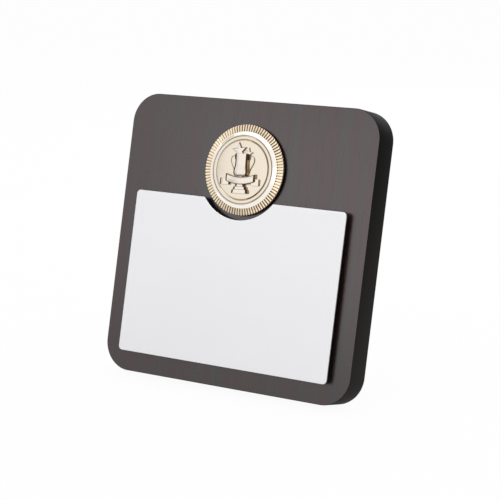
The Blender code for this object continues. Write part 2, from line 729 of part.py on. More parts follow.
def angle_shading():
    """Node group that shades faces smooth and leaves the edges above an angle hard."""
    group = bpy.data.node_groups.new("shade_by_angle", "GeometryNodeTree")
    group.interface.new_socket("Geometry", in_out="INPUT", socket_type="NodeSocketGeometry")
    group.interface.new_socket("Geometry", in_out="OUTPUT", socket_type="NodeSocketGeometry")
    start = group.nodes.new("NodeGroupInput")
    end = group.nodes.new("NodeGroupOutput")
    faces = group.nodes.new("GeometryNodeSetShadeSmooth")
    edges = group.nodes.new("GeometryNodeSetShadeSmooth")
    edges.domain = "EDGE"
    edges.inputs["Shade Smooth"].default_value = False
    bend = group.nodes.new("GeometryNodeInputMeshEdgeAngle")
    sharp = group.nodes.new("FunctionNodeCompare")
    sharp.inputs["B"].default_value = SHARP_ANGLE
    group.links.new(start.outputs["Geometry"], faces.inputs["Geometry"])
    group.links.new(faces.outputs["Geometry"], edges.inputs["Geometry"])
    group.links.new(bend.outputs["Unsigned Angle"], sharp.inputs["A"])
    group.links.new(sharp.outputs["Result"], edges.inputs["Selection"])
    group.links.new(edges.outputs["Geometry"], end.inputs["Geometry"])
    return group


def shade_parts():
    shading = angle_shading()
    for obj in PARTS.objects:
        if obj.type == "MESH":
            obj.modifiers.new("shading", "NODES").node_group = shading


def stand_on_origin():
    """Moves the plaque so that its lowest edge is on the floor and its box's middle is over the origin."""
    bpy.context.view_layer.update()
    graph = bpy.context.evaluated_depsgraph_get()
    points = []
    for obj in PARTS.objects:
        if obj.type != "MESH":
            continue
        solid = obj.evaluated_get(graph)
        points += [solid.matrix_world @ vertex.co for vertex in solid.data.vertices]
    low = Vector(min(point[axis] for point in points) for axis in range(3))
    high = Vector(max(point[axis] for point in points) for axis in range(3))
    plaque_frame.location = -Vector(((low.x + high.x) / 2, (low.y + high.y) / 2, low.z))


make_board()
make_plate()
make_spacers()
make_medal_pad()
make_medal_rim()
make_medal_insert()
make_hinge()
make_strut()
shade_parts()
stand_on_origin()
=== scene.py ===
import json
import math

import bmesh
import bpy
import numpy as np
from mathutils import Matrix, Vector


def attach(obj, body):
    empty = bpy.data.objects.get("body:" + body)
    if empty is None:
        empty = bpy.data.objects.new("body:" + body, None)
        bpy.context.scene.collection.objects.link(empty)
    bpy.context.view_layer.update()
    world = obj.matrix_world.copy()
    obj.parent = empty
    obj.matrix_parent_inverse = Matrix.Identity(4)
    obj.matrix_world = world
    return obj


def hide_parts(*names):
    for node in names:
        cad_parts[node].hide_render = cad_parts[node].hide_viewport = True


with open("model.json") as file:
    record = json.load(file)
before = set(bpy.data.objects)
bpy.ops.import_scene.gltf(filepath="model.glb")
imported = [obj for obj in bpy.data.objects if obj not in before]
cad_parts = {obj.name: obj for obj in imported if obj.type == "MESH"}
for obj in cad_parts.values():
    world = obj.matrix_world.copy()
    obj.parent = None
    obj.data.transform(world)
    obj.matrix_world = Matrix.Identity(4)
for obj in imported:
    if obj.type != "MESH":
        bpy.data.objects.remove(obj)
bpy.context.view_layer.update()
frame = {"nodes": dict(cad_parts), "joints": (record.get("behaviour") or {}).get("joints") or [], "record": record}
mm = 0.001  # shapes are worked out in millimetres, the row frame is in metres
faceOn = 0.9  # a face is a front or a back from this part of its normal along z
print("frame loaded,", len(frame["nodes"]), "nodes")


# Frames. The rows of a frame's axes are right, up and out, so in (x, y, z) x runs to the right, y up and
# z out of a face.

def makeFrame(origin, up, out):
    up, out = np.array(up, float), np.array(out, float)
    return {"origin": np.array(origin, float), "axes": np.stack((np.cross(up, out), up, out))}


def toRow(points, home):  # a frame's own millimetres to the row frame's metres
    return home["origin"] + mm * np.asarray(points, float) @ home["axes"]


def toOwn(points, home):  # the row frame's metres to a frame's own millimetres
    return (points - home["origin"]) @ home["axes"].T / mm


def readVectors(items, field):  # a field of vertices or faces, as rows of x, y and z
    flat = np.empty(3 * len(items), np.float32)
    items.foreach_get(field, flat)
    return flat.reshape(-1, 3)


def nodeBox(node, home):  # lowest and highest corner of a CAD node, in a frame's own millimetres
    own = toOwn(readVectors(frame["nodes"][node].data.vertices, "co"), home)
    return own.min(axis=0), own.max(axis=0)


def named(rows, name):  # the row of a list that has a name
    return next(row for row in rows if row["name"] == name)


faceOut = np.array(named(frame["record"]["mounts"], "plate_face")["axis"])
lean = math.atan2(faceOut[2], -faceOut[1])
boardUp = (0, math.sin(lean), math.cos(lean))

# Front of the board, with its origin at the middle of the front face's bottom edge
face = makeFrame((0, 0, 0), boardUp, faceOut)
boardLow, boardHigh = nodeBox("backing_board", face)
face["origin"] = toRow((0, boardLow[1], boardHigh[2]), face)
boardWide, boardTall, boardThick = boardHigh - boardLow

# Back of the board and back of the open strut, both seen from behind, with the origin on the hinge pin
pinPlace = named(frame["joints"], "strut_fold")["pos_m"]
strutOpen = math.radians(24)  # turn between the board and the open strut
strutTilt = strutOpen - lean
strutUp = (0, -math.sin(strutTilt), math.cos(strutTilt))
strutOut = (0, math.cos(strutTilt), math.sin(strutTilt))
back = makeFrame(pinPlace, boardUp, -faceOut)
strutBack = makeFrame(pinPlace, strutUp, strutOut)

# The medal's frame, with its origin on the board under the medal's centre
rimLow, rimHigh = nodeBox("medal_rim", face)
medalHeight = (rimLow[1] + rimHigh[1]) / 2
medalRadius = (rimHigh[0] - rimLow[0]) / 2
medal = makeFrame(toRow((0, medalHeight, 0), face), boardUp, faceOut)


# Outlines, profiles and the surfaces that they give

def rectangle(left, right, bottom, top):  # its corners, anticlockwise
    return [(left, bottom), (right, bottom), (right, top), (left, top)]


# Rounds the corners of a polygon given anticlockwise. Each corner becomes an arc tangent to both sides:
# (centre x, centre y, radius, first angle, last angle, steps), angles in degrees.
def cornerArcs(corners, radii, steps):
    corners = np.asarray(corners, float)
    radii = np.broadcast_to(radii, len(corners))
    before = corners - np.roll(corners, 1, axis=0)
    before /= np.linalg.norm(before, axis=1, keepdims=True)
    after = np.roll(before, -1, axis=0)
    cross = before[:, 0] * after[:, 1] - before[:, 1] * after[:, 0]
    turn = np.arctan2(cross, (before * after).sum(axis=1))
    start = corners - before * (radii * np.tan(np.abs(turn) / 2))[:, None]
    inward = np.sign(turn)[:, None] * np.stack((-before[:, 1], before[:, 0]), axis=1)
    centre = start + inward * radii[:, None]
    first = np.arctan2(-inward[:, 1], -inward[:, 0])
    rows = np.column_stack((centre, radii, np.degrees(first), np.degrees(first + turn)))
    return [(*row, steps) for row in rows]


# A chain of arcs as rows of (centre x, centre y, radius, angle, sense). An inset shortens the radius of an
# arc that turns left and lengthens that of one that turns right, so the outline moves inwards evenly.
def chainOf(arcs):
    rows = []
    for x, y, radius, first, last, steps in arcs:
        angle = np.radians(np.linspace(first, last, steps + 1))
        rest = np.array((x, y, radius, -1.0 if last > first else 1.0)) * np.ones((steps + 1, 1))
        rows.append(np.column_stack((rest[:, :3], angle, rest[:, 3])))
    return np.concatenate(rows)


# A slab carries an edge profile of (inset, height) rows round a chain:
# centre + (radius + sense * inset) * direction.
def slabRings(chain, profile):
    x, y, radius, angle, sense = chain.T
    inset, height = np.asarray(profile, float).T[:, :, None]
    reach = radius + sense * inset
    return np.stack((x + reach * np.cos(angle), y + reach * np.sin(angle), height + 0 * reach), axis=-1)


# Edge profile of a slab: a narrow flat, a quarter round, the wall, and the same again at the bottom.
def easedEdge(top, bottom, ease, steps=4):
    flat = 1.5 * ease
    turn = np.linspace(0, np.pi / 2, steps + 1)
    inset, drop = ease * (1 - np.sin(turn)), ease * (1 - np.cos(turn))
    upper = np.column_stack((inset, top - drop))
    lower = np.column_stack((inset, bottom + drop))[::-1]
    return np.concatenate(([(flat, top)], upper, lower, [(flat, bottom)]))


# Rounds a bent line: a corner P becomes (1-t)^2 A + 2t(1-t) P + t^2 B, with A and B a given way before and
# after it, but no further than a share of the side that they lie on.
def roundCorners(line, way, steps=4, share=0.45):
    line = np.asarray(line, float)
    corner = line[1:-1]
    way = np.broadcast_to(way, len(corner))[:, None]

    def towards(other):
        step = other - corner
        length = np.linalg.norm(step, axis=1, keepdims=True)
        return corner + step / length * np.minimum(way, share * length)

    t = np.linspace(0, 1, steps + 1)[:, None, None]
    bend = (1 - t) ** 2 * towards(line[:-2]) + 2 * t * (1 - t) * corner + t**2 * towards(line[2:])
    return np.concatenate((line[:1], bend.transpose(1, 0, 2).reshape(-1, 2), line[-1:]))


# A turned disc's profile, from near the axis at one end, round the wall, to near the axis at the other.
def discProfile(core, radius, first, last, way):
    return roundCorners([(core, first), (radius, first), (radius, last), (core, last)], way)


# A turned shape carries a profile of (radius, height) rows round the z axis: (r cos a, r sin a, h).
def latheRings(profile, steps):
    radius, height = np.asarray(profile, float).T[:, :, None]
    angle = np.linspace(0, 2 * np.pi, steps, endpoint=False)
    return np.stack((radius * np.cos(angle), radius * np.sin(angle), height + 0 * radius * angle), axis=-1)


# A smooth path through points: on each stretch, the cubic through both ends with slopes from their
# neighbours.
def smoothPath(points, steps):
    points = np.asarray(points, float)
    long = np.concatenate((2 * points[:1] - points[1:2], points, 2 * points[-1:] - points[-2:-1]))
    a, b, c, d = long[:-3], long[1:-2], long[2:-1], long[3:]
    t = np.linspace(0, 1, steps, endpoint=False)[:, None, None]
    square, cube = 2 * a - 5 * b + 4 * c - d, 3 * b - a - 3 * c + d
    curve = 0.5 * (2 * b + (c - a) * t + square * t**2 + cube * t**3)
    return np.concatenate((curve.transpose(1, 0, 2).reshape(-1, points.shape[1]), points[-1:]))


# A tube carries a circle along a path: centre + radius * (cos a * side + sin a * lift), with side and lift
# square to the path.
def tubeRings(path, radius, steps):
    along = np.gradient(path, axis=0)
    along /= np.linalg.norm(along, axis=1, keepdims=True)
    side = np.cross(along, (0, 0, 1))
    side /= np.linalg.norm(side, axis=1, keepdims=True)
    lift = np.cross(side, along)
    angle = np.linspace(0, 2 * np.pi, steps, endpoint=False)[:, None]
    return path[:, None] + radius * (np.cos(angle) * side[:, None] + np.sin(angle) * lift[:, None])


# Quads between neighbouring rings, with the first and the last ring closed by one face each.
def shellOf(rings):
    rows, count, _ = rings.shape
    index = np.arange(rows * count).reshape(rows, count)
    onward = np.roll(index, -1, axis=1)
    quads = np.stack((index[:-1], onward[:-1], onward[1:], index[1:]), axis=-1).reshape(-1, 4)
    return rings.reshape(-1, 3), quads.tolist() + [index[0, ::-1].tolist(), index[-1].tolist()]


def newObject(name, data):
    made = bpy.data.objects.new(name, data)
    bpy.context.scene.collection.objects.link(made)
    return made


# A closed mesh object at the origin, with its place in its mesh and its faces turned outwards.
def solidOf(name, rings, home, weld=1e-7):
    points, faces = shellOf(rings)
    mesh = bpy.data.meshes.new(name)
    mesh.from_pydata(toRow(points, home), [], faces)
    bm = bmesh.new()
    bm.from_mesh(mesh)
    bmesh.ops.remove_doubles(bm, verts=bm.verts, dist=weld)
    bmesh.ops.recalc_face_normals(bm, faces=bm.faces)
    bm.to_mesh(mesh)
    bm.free()
    return newObject(name, mesh)


def combine(piece, others, operation):  # joins or cuts with other solids, which are then gone
    for other in others:
        modifier = piece.modifiers.new(operation, "BOOLEAN")
        modifier.operation = operation
        modifier.solver = "MANIFOLD"
        modifier.object = other
    graph = bpy.context.evaluated_depsgraph_get()
    piece.data = bpy.data.meshes.new_from_object(piece.evaluated_get(graph))
    piece.modifiers.clear()
    for other in others:
        bpy.data.objects.remove(other)


def finishPiece(piece, body, materials, nodes, sharpAngle=35):
    mesh = piece.data
    mesh.name = piece.name
    mesh.materials.clear()
    for material in materials:
        mesh.materials.append(material)
    mesh.shade_smooth()
    mesh.set_sharp_from_angle(angle=math.radians(sharpAngle))
    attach(piece, body)
    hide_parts(*nodes)


def paintFaces(piece, home, choose):  # material numbers from each face's middle and direction
    polygons = piece.data.polygons
    middle = toOwn(readVectors(polygons, "center"), home)
    normal = readVectors(polygons, "normal") @ home["axes"].T
    polygons.foreach_set("material_index", choose(middle, normal).astype(np.int32))
    piece.data.update()


# Material helpers

def addNode(tree, kind, inputs=None, **settings):
    made = tree.nodes.new(kind)
    for name, value in settings.items():
        setattr(made, name, value)
    for key, value in (inputs or {}).items():
        if isinstance(value, bpy.types.NodeSocket):
            tree.links.new(value, made.inputs[key])
        else:
            made.inputs[key].default_value = value
    return made


def mathNode(tree, operation, first, second):
    return addNode(tree, "ShaderNodeMath", {0: first, 1: second}, operation=operation).outputs[0]


def startMaterial(name, fixed):  # a Principled material with its even values set on the shader
    material = bpy.data.materials.new(name)
    material.use_nodes = True
    tree = material.node_tree
    shader = tree.nodes["Principled BSDF"]
    for socket, value in fixed.items():
        shader.inputs[socket].default_value = value
    return material, tree, shader


def plugIn(tree, shader, sockets):  # links the values that vary over a surface to the shader
    for socket, value in sockets.items():
        tree.links.new(value, shader.inputs[socket])


def ownPlace(tree, turn, stretch):  # place on the piece, turned upright about x and then stretched
    spot = addNode(tree, "ShaderNodeTexCoord").outputs["Object"]
    upright = addNode(tree, "ShaderNodeMapping", {"Vector": spot, "Rotation": (turn, 0, 0)}).outputs[0]
    return addNode(tree, "ShaderNodeVectorMath", {0: upright, 1: stretch}, operation="MULTIPLY").outputs[0]


def noise(tree, turn, stretch, detail, rough=0.5):  # features per metre along each axis
    place = ownPlace(tree, turn, stretch)
    inputs = {"Vector": place, "Scale": 1.0, "Detail": detail, "Roughness": rough}
    return addNode(tree, "ShaderNodeTexNoise", inputs).outputs["Fac"]


def spread(tree, value, low, high, start=0.3, end=0.7):  # a value's range, moved to another range
    inputs = {"Value": value, "From Min": start, "From Max": end, "To Min": low, "To Max": high}
    return addNode(tree, "ShaderNodeMapRange", inputs).outputs["Result"]


def roughOf(tree, value, look):  # roughness that follows a pattern to both sides of its even value
    return spread(tree, value, look["rough"] - look["roughDrift"], look["rough"] + look["roughDrift"])


def mixColour(tree, share, first, second):
    mixed = addNode(tree, "ShaderNodeMix", {0: share}, data_type="RGBA")
    for socket, value in ((mixed.inputs[6], first), (mixed.inputs[7], second)):  # the two colours
        if isinstance(value, bpy.types.NodeSocket):
            tree.links.new(value, socket)
        else:
            socket.default_value = (*value, 1)
    return mixed.outputs[2]  # the mixed colour


def bump(tree, height, strength, distance, below=None):
    inputs = {"Height": height, "Strength": strength, "Distance": distance}
    if below is not None:
        inputs["Normal"] = below
    return addNode(tree, "ShaderNodeBump", inputs).outputs["Normal"]


# Stained veneer: broad soft figure, upright streaks and short dark pores, all drawn out along the grain

def woodFinish(name, look, turn):
    material, tree, shader = startMaterial(name, {"Specular IOR Level": look["sheen"]})
    figure = noise(tree, turn, look["figure"], detail=2.0)
    streak = noise(tree, turn, look["streak"], detail=4.0, rough=0.6)
    pore = noise(tree, turn, look["pore"], detail=1.0)
    warmth = spread(tree, figure, 0, 1, *look["figureSpan"])
    paleShare = spread(tree, streak, 0, look["streakShare"], *look["streakSpan"])
    poreShare = spread(tree, pore, 0, look["poreShare"], *look["poreSpan"])
    tone = mixColour(tree, warmth, look["dark"], look["warm"])
    tone = mixColour(tree, paleShare, tone, look["pale"])
    groove = bump(tree, poreShare, look["poreBump"], -look["poreDepth"])
    plugIn(tree, shader, {
        "Base Color": mixColour(tree, poreShare, tone, look["poreColour"]),
        "Specular Tint": mixColour(tree, warmth, look["tint"], look["warmTint"]),
        "Roughness": mathNode(tree, "ADD", roughOf(tree, streak, look), poreShare),
        "Normal": bump(tree, streak, look["poreBump"], look["streakDepth"], groove),
    })
    return material


veneerLook = {
    "dark": (0.0045, 0.0034, 0.0037), "warm": (0.0140, 0.0048, 0.0048), "pale": (0.0105, 0.0070, 0.0072),
    "poreColour": (0.006, 0.004, 0.004), "tint": (1.0, 0.938, 0.950), "warmTint": (1.0, 0.865, 0.892),
    "figure": (110, 60, 5), "streak": (330, 120, 7), "pore": (1500, 700, 60),  # z along the grain
    "figureSpan": (0.36, 0.62), "streakSpan": (0.35, 0.72), "poreSpan": (0.60, 0.72),
    "streakShare": 0.25, "poreShare": 0.08, "poreBump": 0.04, "poreDepth": 0.00004, "streakDepth": 0.00003,
    "rough": 0.27, "roughDrift": 0.02, "sheen": 0.79,
}
balanceLook = {  # the board's back, plainer and more matt
    **veneerLook, "dark": (0.019, 0.012, 0.012), "warm": (0.037, 0.017, 0.0155),
    "pale": (0.037, 0.024, 0.023), "poreShare": 0.3, "poreBump": 0.15, "rough": 0.55, "sheen": 0.35,
}
strutLook = {**balanceLook, "figure": (110, 60, 9), "streak": (420, 160, 10), "rough": 0.50, "sheen": 0.4}


def edgePaint(look):  # stained and sealed panel edge, almost black, with pressed layers and a painted reflection of the floor towards the foot
    material, tree, shader = startMaterial("edge_stain", {"Specular IOR Level": look["sheen"]})
    layer = noise(tree, lean, look["layer"], detail=3.0)
    fleck = noise(tree, lean, look["fleck"], detail=2.0)
    height = addNode(tree, "ShaderNodeSeparateXYZ", {0: ownPlace(tree, lean, (1, 1, 1))}).outputs["Z"]
    # painted reflection of the floor: the edge grows paler towards the foot
    reflectionShare = spread(tree, height, look["reflectionShare"], 0, 0.0, look["reflectionReach"])
    fleckShare = spread(tree, fleck, 0, look["fleckShare"], *look["fleckSpan"])
    tone = mixColour(tree, spread(tree, layer, 0, 1), look["dark"], look["brown"])
    tone = mixColour(tree, reflectionShare, tone, look["floorReflection"])
    plugIn(tree, shader, {
        "Base Color": mixColour(tree, fleckShare, tone, look["pale"]),
        "Roughness": roughOf(tree, fleck, look),
        "Normal": bump(tree, fleck, look["bump"], look["fleckDepth"]),
    })
    return material


edgeLook = {
    "dark": (0.0035, 0.0033, 0.0032), "brown": (0.006, 0.0052, 0.0048), "pale": (0.010, 0.0088, 0.0082),
    "layer": (30, 900, 30), "fleck": (900, 1600, 900), "fleckShare": 0.4, "fleckSpan": (0.5, 0.8),
    "rough": 0.55, "roughDrift": 0.06, "sheen": 0.02, "bump": 0.25, "fleckDepth": 0.00004,
    "floorReflection": (0.024, 0.0215, 0.0205), "reflectionShare": 0.85, "reflectionReach": 0.14,  # paler towards the foot, a painted reflection of the floor
}


# Metals, the plate's satin coating and the spacers' nylon: a colour that deepens in patches, and a fine
# tooth, which may be drawn out along the brushing

def toothedFinish(name, look, turn=0.0):
    fixed = {"Metallic": look["metal"], "Specular IOR Level": look["shine"]}
    material, tree, shader = startMaterial(name, fixed)
    tooth = noise(tree, turn, look["tooth"], detail=look["toothDetail"])
    patch = noise(tree, turn, look["patch"], detail=2.0)
    tone = mixColour(tree, spread(tree, patch, 0, 1), look["deep"], look["light"])
    if "crease" in look:  # painted shade: a brown darkening, from ambient occlusion, where the metal is hemmed in
        reach = {"Distance": look["creaseReach"]}
        openness = addNode(tree, "ShaderNodeAmbientOcclusion", reach, samples=8).outputs["AO"]
        crease = spread(tree, openness, look["creaseShare"], 0, *look["creaseSpan"])
        tone = mixColour(tree, crease, tone, look["crease"])
    grit = spread(tree, tooth, -look["toothDrift"], look["toothDrift"])
    plugIn(tree, shader, {
        "Base Color": tone,
        "Roughness": mathNode(tree, "ADD", roughOf(tree, patch, look), grit),
        "Normal": bump(tree, tooth, look["bump"], look["toothDepth"]),
    })
    return material


metalBase = {
    "metal": 1.0, "shine": 0.5, "roughDrift": 0.03, "toothDrift": 0.05, "toothDetail": 3.0,
    "toothDepth": 0.00002,
}
coatLook = {  # satin white-silver, with a very fine even tooth
    **metalBase, "deep": (0.79, 0.79, 0.805), "light": (0.81, 0.81, 0.825), "metal": 0.15, "rough": 0.40,
    "bump": 0.06, "tooth": (5200,) * 3, "toothDrift": 0.04, "toothDetail": 2.0, "patch": (14, 14, 22),
}
goldLook = {
    **metalBase, "deep": (0.420, 0.372, 0.306), "light": (0.445, 0.400, 0.338), "rough": 0.16,
    "bump": 0.08, "tooth": (3800,) * 3, "patch": (130,) * 3,
    # the crease colour is painted shade, laid into hollows and corners by ambient occlusion
    "crease": (0.12, 0.055, 0.02), "creaseReach": 0.0013, "creaseShare": 0.45, "creaseSpan": (0.30, 0.82),
}
# painted light: a lighter copy of the field's gold for the reeds, set for how the light falls on them
reedLook = {
    **goldLook, "deep": (0.63, 0.53, 0.385), "light": (0.67, 0.57, 0.425), "rough": 0.21,
    "creaseShare": 0.35, "creaseSpan": (0.24, 0.68),
}
# painted shade, near black: in the rim's pockets, on the relief's bevels and on the right handle's right side
darkShadeLook = {
    **goldLook, "deep": (0.030, 0.023, 0.017), "light": (0.050, 0.037, 0.026), "rough": 0.5,
    "metal": 0.0, "shine": 0.1,
}
# painted shade in a bronze brown, on the insert's ring steps that face right
bronzeLook = {**goldLook, "deep": (0.17, 0.113, 0.062), "light": (0.21, 0.145, 0.083), "rough": 0.30}
# painted highlight: a lighter gold on the relief's raised fronts
frontHighlightLook = {**goldLook, "deep": (0.436, 0.395, 0.340), "light": (0.460, 0.422, 0.370), "rough": 0.17}
# painted light: a gold lighter than the field's, on the plain inner part of the rim's slope
slopeLook = {**goldLook, "deep": (0.70, 0.622, 0.520), "light": (0.74, 0.667, 0.570)}
# painted shade on the sides of reeds that face right
flankLook = {**reedLook, "deep": (0.18, 0.13, 0.085), "light": (0.22, 0.165, 0.112), "creaseShare": 0.6}
# painted shade in a deep brown gold, on the relief's walls, the field's step and the left handle's right side
amberLook = {**goldLook, "deep": (0.60, 0.44, 0.24), "light": (0.68, 0.52, 0.31), "rough": 0.30}
# painted highlight: a near-white gold on the outer part of the rim's slope
facetLook = {
    **goldLook, "deep": (0.92, 0.88, 0.80), "light": (0.95, 0.92, 0.86), "rough": 0.14, "bump": 0.03,
}
cutEdgeLook = {
    **metalBase, "deep": (0.78, 0.78, 0.79), "light": (0.86, 0.86, 0.87), "rough": 0.30, "bump": 0.15,
    "tooth": (260, 4200, 260), "patch": (60,) * 3,
}
brassLook = {
    **metalBase, "deep": (0.55, 0.40, 0.17), "light": (0.68, 0.52, 0.25), "rough": 0.33, "bump": 0.22,
    "tooth": (160, 5200, 5200), "patch": (180,) * 3,
}
screwLook = {**brassLook, "light": (0.72, 0.57, 0.30), "rough": 0.27, "tooth": (4200,) * 3}
nylonLook = {  # matte black, with a spark-eroded texture that its tooth and its patches share
    "deep": (0.011, 0.011, 0.012), "light": (0.020, 0.020, 0.021), "metal": 0.0, "shine": 0.4,
    "rough": 0.55, "roughDrift": 0.07, "bump": 0.2, "tooth": (2600,) * 3, "patch": (2600,) * 3,
    "toothDrift": 0.0, "toothDetail": 2.0, "toothDepth": 0.00003,
}


def closedFoam(look):  # foam tape: cells from a Voronoi pattern, dark in the cell walls
    fixed = {"Specular IOR Level": look["shine"], "Roughness": look["rough"]}
    material, tree, shader = startMaterial("closed_foam", fixed)
    place = ownPlace(tree, 0, look["cells"])
    cell = addNode(tree, "ShaderNodeTexVoronoi", {"Vector": place, "Scale": 1.0}).outputs["Distance"]
    wall = spread(tree, cell, 0, 1, 0, look["cellReach"])
    plugIn(tree, shader, {
        "Base Color": mixColour(tree, wall, look["grey"], look["dark"]),
        "Normal": bump(tree, cell, look["bump"], look["cellDepth"]),
    })
    return material


foamLook = {
    "dark": (0.008, 0.008, 0.008), "grey": (0.026, 0.026, 0.027), "cells": (2400,) * 3,
    "cellReach": 0.8, "rough": 0.92, "shine": 0.2, "bump": 0.5, "cellDepth": 0.00012,
}

veneer = woodFinish("stained_veneer_face", veneerLook, lean)
balance = woodFinish("stained_balance_back", balanceLook, lean)
strutWood = woodFinish("stained_strut_wood", strutLook, -strutTilt)
edgeStain = edgePaint(edgeLook)
coat = toothedFinish("satin_coat", coatLook, lean)
cutEdge = toothedFinish("plate_cut_edge", cutEdgeLook, lean)
gold = toothedFinish("champagne_gold", goldLook, lean)
facet = toothedFinish("facet_painted_highlight", facetLook, lean)
reedGold = toothedFinish("reeded_gold", reedLook, lean)
darkShade = toothedFinish("dark_painted_shade", darkShadeLook, lean)
bronze = toothedFinish("bronze_painted_shade", bronzeLook, lean)
amber = toothedFinish("amber_painted_shade", amberLook, lean)
frontHighlight = toothedFinish("relief_front_painted_highlight", frontHighlightLook, lean)
slopeGold = toothedFinish("rim_slope_gold", slopeLook, lean)
flank = toothedFinish("reed_flank_painted_shade", flankLook, lean)
brass = toothedFinish("brushed_brass", brassLook)
screwBrass = toothedFinish("turned_brass", screwLook)
nylon = toothedFinish("moulded_nylon", nylonLook)
foam = closedFoam(foamLook)
print("materials ready,", len(bpy.data.materials), "with the frame's own")


# Board: a slab with big rounded corners and eased edges, with a keyhole slot cut into its back

board = {
    "cornerRadius": 18.5, "cornerSteps": 32, "edgeEase": 0.35,
    "keyholeDrop": 32.0, "keyholeTravel": 12.0, "entryRadius": 5.0, "headWidth": 9.4, "neckWidth": 5.0,
    "keyholeDepth": 9.0, "entryDepth": 9.3, "lip": 3.5,
    "entryTravel": 0.001,  # the entry is a round hole: a slot with next to no travel
    "overrun": 2.0,  # how far a cutter runs on past a face
    "faceDepth": 0.2,  # how deep a face may lie and still be the front or the back
}


def slotCutter(name, radius, travel, top, bottom, foot, steps=24):  # a straight slot, up from its foot
    arcs = [(0, foot, radius, 180, 360, steps), (0, foot + travel, radius, 0, 180, steps)]
    return solidOf(name, slabRings(chainOf(arcs), [(0, top), (0, bottom)]), face)


def makeBoard(look):
    corners = rectangle(-boardWide / 2, boardWide / 2, 0, boardTall)
    chain = chainOf(cornerArcs(corners, look["cornerRadius"], look["cornerSteps"]))
    edge = easedEdge(0, -boardThick, look["edgeEase"])
    piece = solidOf("veneered_board", slabRings(chain, edge), face)
    foot, travel = boardTall - look["keyholeDrop"], look["keyholeTravel"]
    behind, lip = -boardThick - look["overrun"], look["lip"] - boardThick
    entryTop, headTop = look["entryDepth"] - boardThick, look["keyholeDepth"] - boardThick
    cutters = [
        slotCutter("keyhole_entry", look["entryRadius"], look["entryTravel"], entryTop, behind, foot),
        slotCutter("keyhole_neck", look["neckWidth"] / 2, travel, lip + look["overrun"], behind, foot),
        slotCutter("keyhole_head", look["headWidth"] / 2, travel, headTop, lip, foot),
    ]
    combine(piece, cutters, "DIFFERENCE")
    finishPiece(piece, "plaque", [veneer, balance, edgeStain], ["backing_board"])

    def layerOf(middle, normal):  # 0 on the front, 1 on the back, 2 on the edges and in the keyhole
        front = (normal[:, 2] > faceOn) & (middle[:, 2] > -look["faceDepth"])
        rear = (normal[:, 2] < -faceOn) & (middle[:, 2] < look["faceDepth"] - boardThick)
        return np.select([front, rear], [0, 1], 2)

    paintFaces(piece, face, layerOf)


makeBoard(board)
print("board made")


# Plate: a thin slab with small corners and a round notch that is concentric with the medal

plate = {
    "cornerRadius": 2.6, "notchClearance": 3.2, "notchTip": 0.8, "edgeEase": 0.2,
    "cornerSteps": 12, "tipSteps": 8, "notchSteps": 96, "edgeSteps": 3,
}
spacer = {"core": 2.0, "edgeRound": 0.4, "steps": 64}


def makePlate(look):
    low, high = nodeBox("face_plate", face)
    radius, tip = look["cornerRadius"], look["notchTip"]
    steps, tipSteps = look["cornerSteps"], look["tipSteps"]
    notch = medalRadius + look["notchClearance"]
    rise = medalHeight - high[1] + tip
    tipX = math.sqrt((notch + tip) ** 2 - rise**2)
    turn = math.degrees(math.atan2(rise, tipX))
    left, right, bottom, top = low[0] + radius, high[0] - radius, low[1] + radius, high[1] - radius
    arcs = [
        (left, bottom, radius, 180, 270, steps),
        (right, bottom, radius, 270, 360, steps),
        (right, top, radius, 0, 90, steps),
        (tipX, high[1] - tip, tip, 90, 180 - turn, tipSteps),
        (0, medalHeight, notch, -turn, turn - 180, look["notchSteps"]),
        (-tipX, high[1] - tip, tip, turn, 90, tipSteps),
        (left, top, radius, 90, 180, steps),
    ]
    edge = easedEdge(high[2], low[2], look["edgeEase"], look["edgeSteps"])
    piece = solidOf("floating_plate", slabRings(chainOf(arcs), edge), face)
    finishPiece(piece, "plaque", [coat, cutEdge], ["face_plate"])
    paintFaces(piece, face, lambda middle, normal: np.where(normal[:, 2] > faceOn, 0, 1))


def makeSpacer(node, look):
    low, high = nodeBox(node, face)
    radius, top = (high[0] - low[0]) / 2, high[2] - low[2]
    profile = discProfile(look["core"], radius, top, 0, look["edgeRound"])
    foot = toRow(((low[0] + high[0]) / 2, (low[1] + high[1]) / 2, low[2]), face)
    rings = latheRings(profile, look["steps"])
    piece = solidOf(node.replace("plate_spacer", "spacer"), rings, makeFrame(foot, boardUp, faceOut))
    finishPiece(piece, "plaque", [nylon], [node])


makePlate(plate)
for node in sorted(name for name in frame["nodes"] if name.startswith("plate_spacer")):
    makeSpacer(node, spacer)
print("plate and spacers made")


# Medal rim: a ring profile turned about the medal's axis, with reeds that sink it along its own normal.
# Across a reed, s runs from -1 to 1, and the surface drops by depth * (1 - (1 - |s|^p)^(1/p)): round
# crests and narrow valleys. The drop starts at the reeds' inner end and fades out down the outer wall.

rim = {
    "reedCount": 90, "reedSamples": 12, "reedDepth": 0.58, "reedPower": 1.9, "reedFade": 0.3,
    "edgeHeight": 1.0, "bandWidth": 4.2, "bandRise": 0.7, "landWidth": 0.15, "slopeWidth": 1.95,
    "slopeRise": 1.15, "crestWidth": 0.5, "crestReach": 0.2, "floor": 0.9, "core": 8.0,
    "pocketWidth": 0.1, "pocketLength": 0.55, "pocketDrop": 0.03, "pocketEndDrop": 0.09,
    # roundings of the profile's corners, from the recess out to the foot
    "rounds": (0.05, 0.14, 0.14, 0.25, 0.04, 0.04, 0.04, 1.5, 0.45, 0.3), "roundSteps": 5,
    "paint": {  # where the finishes change: millimetres, and parts of a normal
        "slopeStart": 0.05, "slopeEnd": 0.1, "slopeTilt": 0.3, "plainSide": (-0.6, 0.8), "plainWidth": 0.9,
        "valley": 0.5, "pocketReach": 0.2, "pocketTilt": 0.75, "pocketSide": 0.75,
        "shadeStart": 0.2, "shadeRight": 0.34, "shadeTilt": 0.25,
    },
}
pad = {"core": 4.0, "edgeRound": 0.12, "steps": 96}


